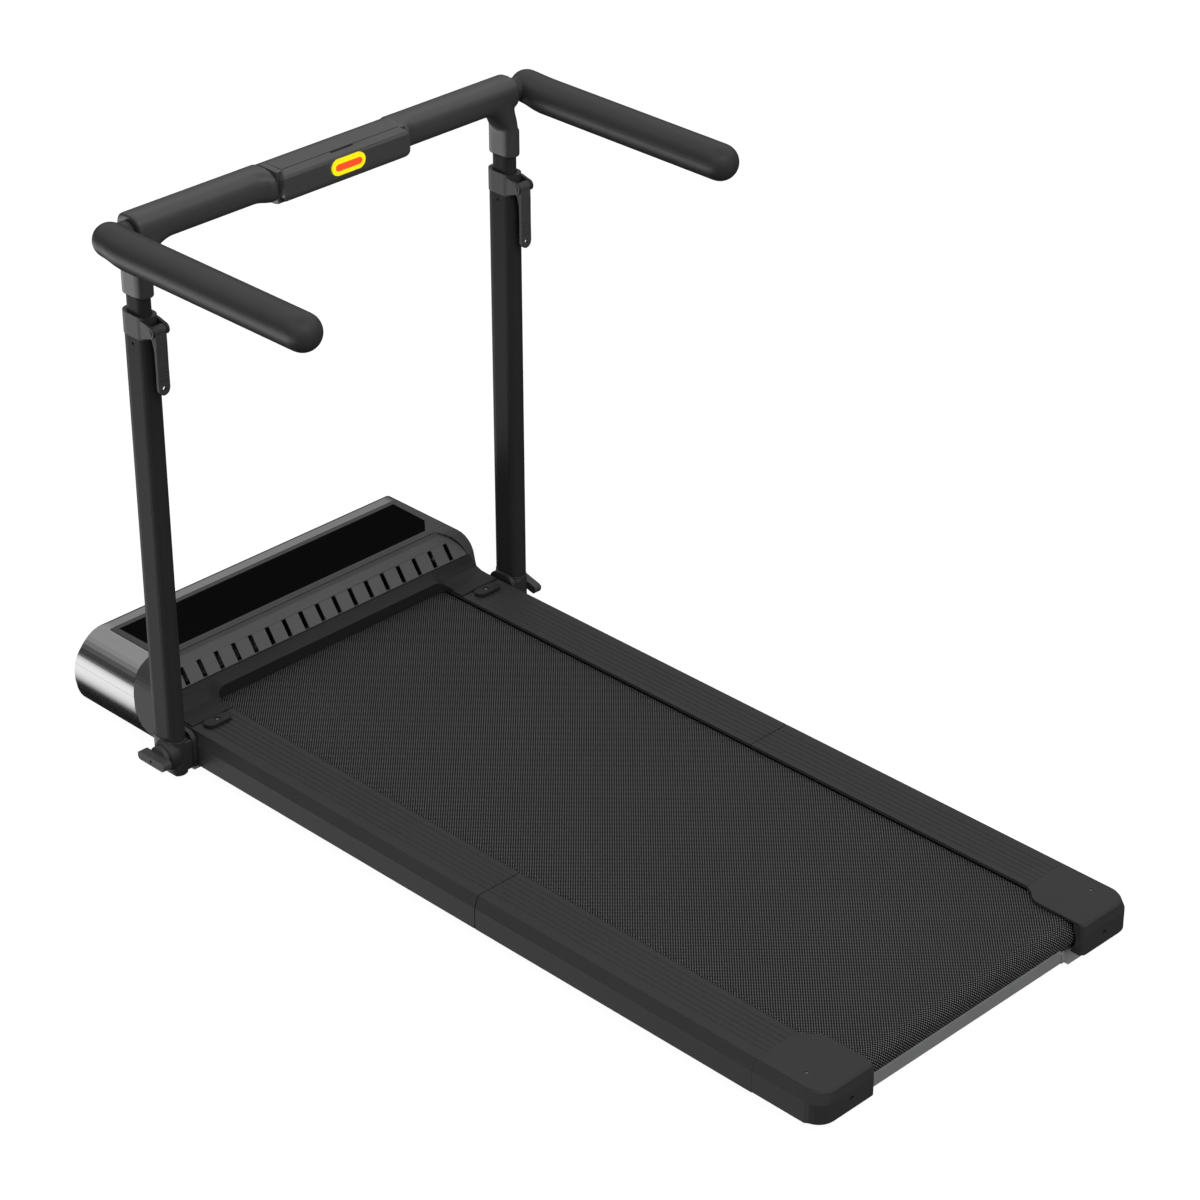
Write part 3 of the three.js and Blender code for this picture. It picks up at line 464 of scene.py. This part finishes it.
def make_belt():
    """One endless band with its real thickness, its rows close together across the deck's fold."""
    path = belt_path()
    n = len(path)
    length = [0.0]
    for a, b in zip(path, path[1:] + path[:1]):
        length.append(length[-1] + math.dist(a, b))
    fit = round(length[-1] / WEAVE_MM) * WEAVE_MM / length[-1]  # a whole number of repeats
    across = [-1.0, -0.996] + [i / 12 for i in range(-11, 12)] + [0.996, 1.0]
    mesh = bpy.data.meshes.new("walking_belt")
    work = bmesh.new()
    layer = work.loops.layers.uv.new("along")
    rings = []
    for i, (y, z) in enumerate(path):
        a, b = path[i - 1], path[(i + 1) % n]
        d = math.hypot(b[0] - a[0], b[1] - a[1])
        ny, nz = -(b[1] - a[1]) / d, (b[0] - a[0]) / d
        half = BELT_HALF
        if y <= CAP_Y:
            half -= CAP_INSET * min(1.0, (CAP_Y - y) / CAP_TAPER)
        outer = []
        for a in across:
            drop = EDGE_DROP if abs(a) == 1 else 0
            outer.append(work.verts.new(pt(half * a, y - drop * ny, z - drop * nz)))
        inner = [
            work.verts.new(pt(half * a, y - BELT_THICK * ny, z - BELT_THICK * nz)) for a in (1.0, -1.0)
        ]
        rings.append((outer, inner, half))
    for i in range(n):
        (o1, i1, h1), (o2, i2, h2) = rings[i], rings[(i + 1) % n]
        v1, v2 = length[i] * fit, length[i + 1] * fit
        for k in range(len(across) - 1):
            face = work.faces.new((o1[k], o1[k + 1], o2[k + 1], o2[k]))
            a, b = across[k], across[k + 1]
            for loop, (u, v) in zip(face.loops, ((h1 * a, v1), (h1 * b, v1), (h2 * b, v2), (h2 * a, v2))):
                loop[layer].uv = (u * MM, v * MM)
        edges = (
            (o1[-1], i1[0], i2[0], o2[-1]),
            (i1[0], i1[1], i2[1], i2[0]),
            (i1[1], o1[0], o2[0], i2[1]),
        )
        for quad in edges:
            face = work.faces.new(quad)
            for loop in face.loops:
                loop[layer].uv = (loop.vert.co.x, (v1 + v2) / 2 * MM)
    bmesh.ops.recalc_face_normals(work, faces=work.faces)
    work.to_mesh(mesh)
    work.free()
    belt = add_piece("walking_belt", mesh, BELT, None, ("belt_front", "belt_rear"))
    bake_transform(belt)


def turned_mesh(name, profile, centre, axis, steps=24):
    """A profile of (radius, height) pairs turned about an axis through centre."""
    mesh = bpy.data.meshes.new(name)
    work = bmesh.new()
    turn = Vector((0, 0, 1)).rotation_difference(Vector(axis)).to_matrix()
    rings = []
    for radius, height in profile:
        if radius == 0:
            rings.append([work.verts.new(centre + turn @ Vector((0, 0, height * MM)))])
            continue
        ring = []
        for i in range(steps):
            t = 2 * math.pi * i / steps
            spot = Vector((radius * math.cos(t) * MM, radius * math.sin(t) * MM, height * MM))
            ring.append(work.verts.new(centre + turn @ spot))
        rings.append(ring)
    for a, b in zip(rings, rings[1:]):
        for i in range(steps):
            j = (i + 1) % steps
            if len(a) == 1:
                work.faces.new((a[0], b[i], b[j]))
            elif len(b) == 1:
                work.faces.new((a[i], a[j], b[0]))
            else:
                work.faces.new((a[i], a[j], b[j], b[i]))
    bmesh.ops.recalc_face_normals(work, faces=work.faces)
    work.to_mesh(mesh)
    work.free()
    return mesh


def make_screw(name, centre, axis, body, r=2.4, depth=5.0):
    """A dished machine screw with a round socket."""
    profile = [
        (0, -depth),
        (r * 0.5, -depth),
        (r * 0.5, -1.2),
        (r, -1.2),
        (r, 0.2),
        (r * 0.93, 0.75),
        (r * 0.75, 1.05),
        (r * 0.5, 1.15),
        (r * 0.46, 0.1),
        (0, 0.0),
    ]
    add_piece(name, turned_mesh(name, profile, centre, axis), SCREW, body)


def make_bolt(name, centre):
    """The end of a belt-tension bolt, seen in its hole."""
    profile = [(0, -4), (5.2, -4), (5.2, -0.4), (4.9, 0), (2.4, 0), (2.4, -2.6), (0, -2.6)]
    add_piece(name, turned_mesh(name, profile, centre, (0, -1, 0)), RUBBER, "rear_deck")


UP = (0, 0, 1)
make_belt()
cast("crossbar", "crossbar_casting", BAR, 1.6, 8)
for side in ("left", "right"):
    cast("grip_" + side, "grip_foam_" + side, FOAM, 1.8, 10)
    cast("post_hub_" + side, "post_casting_" + side, SATIN, 0.9, 4)
    sign = -1 if side == "left" else 1
    make_screw("cap_screw_" + side, pt(sign * 271.6, -549, 62.2), UP, "rear_deck")
    make_bolt("tension_bolt_" + side, pt(sign * 242.8, -592.6, 35))
    make_screw("boss_screw_" + side, pt(sign * 256, 565, 66.9), UP, "base", 2.6, 2.4)


# ---------------------------------------------------------------- stage and light
FLOOR_HALF, FLOOR_Z = 9, -0.0005


def make_stage():
    """A white floor that lights nothing and isn't reflected."""
    mesh = bpy.data.meshes.new("floor")
    corners = ((-1, -1), (1, -1), (1, 1), (-1, 1))
    mesh.from_pydata([(x * FLOOR_HALF, y * FLOOR_HALF, FLOOR_Z) for x, y in corners], [], [(0, 1, 2, 3)])
    floor = bpy.data.objects.new("floor", mesh)
    bpy.context.scene.collection.objects.link(floor)
    n = Nodes("floor")
    n.set(Base_Color=(0.12, 0.12, 0.12, 1), Roughness=0.9, Specular_IOR_Level=0.0)
    n.set(Emission_Color=(1, 1, 1, 1), Emission_Strength=0.96)
    floor.data.materials.append(n.material)
    floor.visible_glossy = False
    floor.visible_diffuse = False


def area(name, location, target, size, power):
    """A soft light that shows in no reflection."""
    data = bpy.data.lights.new(name, "AREA")
    data.shape = "RECTANGLE"
    data.size, data.size_y = size
    data.energy = power
    light = bpy.data.objects.new(name, data)
    bpy.context.scene.collection.objects.link(light)
    light.location = location
    light.rotation_euler = (Vector(target) - Vector(location)).to_track_quat("-Z", "Y").to_euler()
    light.visible_glossy = False


# What a polished face sees, by the height of the direction it looks in: dark far below, a white
# sheet low down, a dark wall, then a grey ceiling.
STUDIO = (
    (-1.0, 0.03),
    (-0.64, 0.03),
    (-0.58, 2.2),
    (-0.53, 3.9),
    (-0.43, 3.9),
    (-0.30, 1.2),
    (-0.12, 0.16),
    (0.05, 0.14),
    (0.30, 0.36),
    (0.50, 0.95),
    (0.65, 1.3),
    (0.80, 1.1),
    (1.0, 0.75),
)
# The same away from the white sheet, which stands on one side only.
DIM = tuple((at, value if at > -0.2 else 0.06) for at, value in STUDIO)
# The soft light that reaches matt faces, by the same height.
SOFT = (
    (-1.0, 0.05),
    (-0.12, 0.07),
    (0.05, 0.26),
    (0.35, 0.46),
    (0.70, 0.62),
    (1.0, 0.62),
)


STRONGEST = 4.0  # the top of the strength curves


def by_height(tree, height, table):
    """A background whose strength follows a table of (height, strength)."""
    ramp = tree.nodes.new("ShaderNodeFloatCurve")
    curve = ramp.mapping.curves[0]
    while len(curve.points) < len(table):
        curve.points.new(0.5, 0.5)
    for point, (at, value) in zip(curve.points, table):
        point.location = ((at + 1) / 2, value / STRONGEST)
        point.handle_type = "VECTOR"
    ramp.mapping.update()
    tree.links.new(height, ramp.inputs["Value"])
    times = tree.nodes.new("ShaderNodeMath")
    times.operation = "MULTIPLY"
    times.inputs[1].default_value = STRONGEST
    tree.links.new(ramp.outputs[0], times.inputs[0])
    background = tree.nodes.new("ShaderNodeBackground")
    tree.links.new(times.outputs[0], background.inputs["Strength"])
    return background.outputs[0]


SHEET_SIDE = (-0.707, 0.707, 0)  # the side that the white sheet stands on
SHEET_EDGE = (0.45, 0.75)


def mixed(tree, factor, first, second):
    node = tree.nodes.new("ShaderNodeMixShader")
    for source, socket in zip((factor, first, second), node.inputs):
        tree.links.new(source, socket)
    return node.outputs[0]


def make_light():
    """White to the camera, the studio's tables to everything else, and three soft lights."""
    world = bpy.data.worlds.new("studio")
    bpy.context.scene.world = world
    world.use_nodes = True
    tree = world.node_tree
    tree.nodes.clear()
    output = tree.nodes.new("ShaderNodeOutputWorld")
    direction = tree.nodes.new("ShaderNodeTexCoord").outputs["Generated"]
    split = tree.nodes.new("ShaderNodeSeparateXYZ")
    tree.links.new(direction, split.inputs[0])
    scale = tree.nodes.new("ShaderNodeMapRange")
    for key, value in (("From Min", -1.0), ("From Max", 1.0), ("To Min", 0.0), ("To Max", 1.0)):
        scale.inputs[key].default_value = value
    tree.links.new(split.outputs[2], scale.inputs["Value"])
    height = scale.outputs["Result"]
    across = tree.nodes.new("ShaderNodeVectorMath")
    across.operation = "DOT_PRODUCT"
    across.inputs[1].default_value = SHEET_SIDE
    tree.links.new(direction, across.inputs[0])
    side = tree.nodes.new("ShaderNodeMapRange")
    side.interpolation_type = "SMOOTHSTEP"
    side.inputs["From Min"].default_value, side.inputs["From Max"].default_value = SHEET_EDGE
    tree.links.new(across.outputs["Value"], side.inputs["Value"])
    soft, dim, studio = (by_height(tree, height, table) for table in (SOFT, DIM, STUDIO))
    reflected = mixed(tree, side.outputs["Result"], dim, studio)
    ray = tree.nodes.new("ShaderNodeLightPath")
    lit = mixed(tree, ray.outputs["Is Glossy Ray"], soft, reflected)
    backdrop = tree.nodes.new("ShaderNodeBackground")
    backdrop.inputs["Color"].default_value = (1, 1, 1, 1)
    seen = mixed(tree, ray.outputs["Is Camera Ray"], lit, backdrop.outputs[0])
    tree.links.new(seen, output.inputs["Surface"])
    area("key", (-0.8, -2.8, 3.5), (0, 0.1, 0.3), (1.8, 1.8), 84)
    area("side", (-4.0, -0.4, 1.3), (0, 0, 0.4), (2.4, 1.4), 26)
    area("rear", (0.9, -4.2, 0.9), (0, 0, 0.4), (2.4, 1.2), 34)
    bpy.context.scene.view_settings.view_transform = "Standard"


make_stage()
make_light()

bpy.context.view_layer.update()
import json
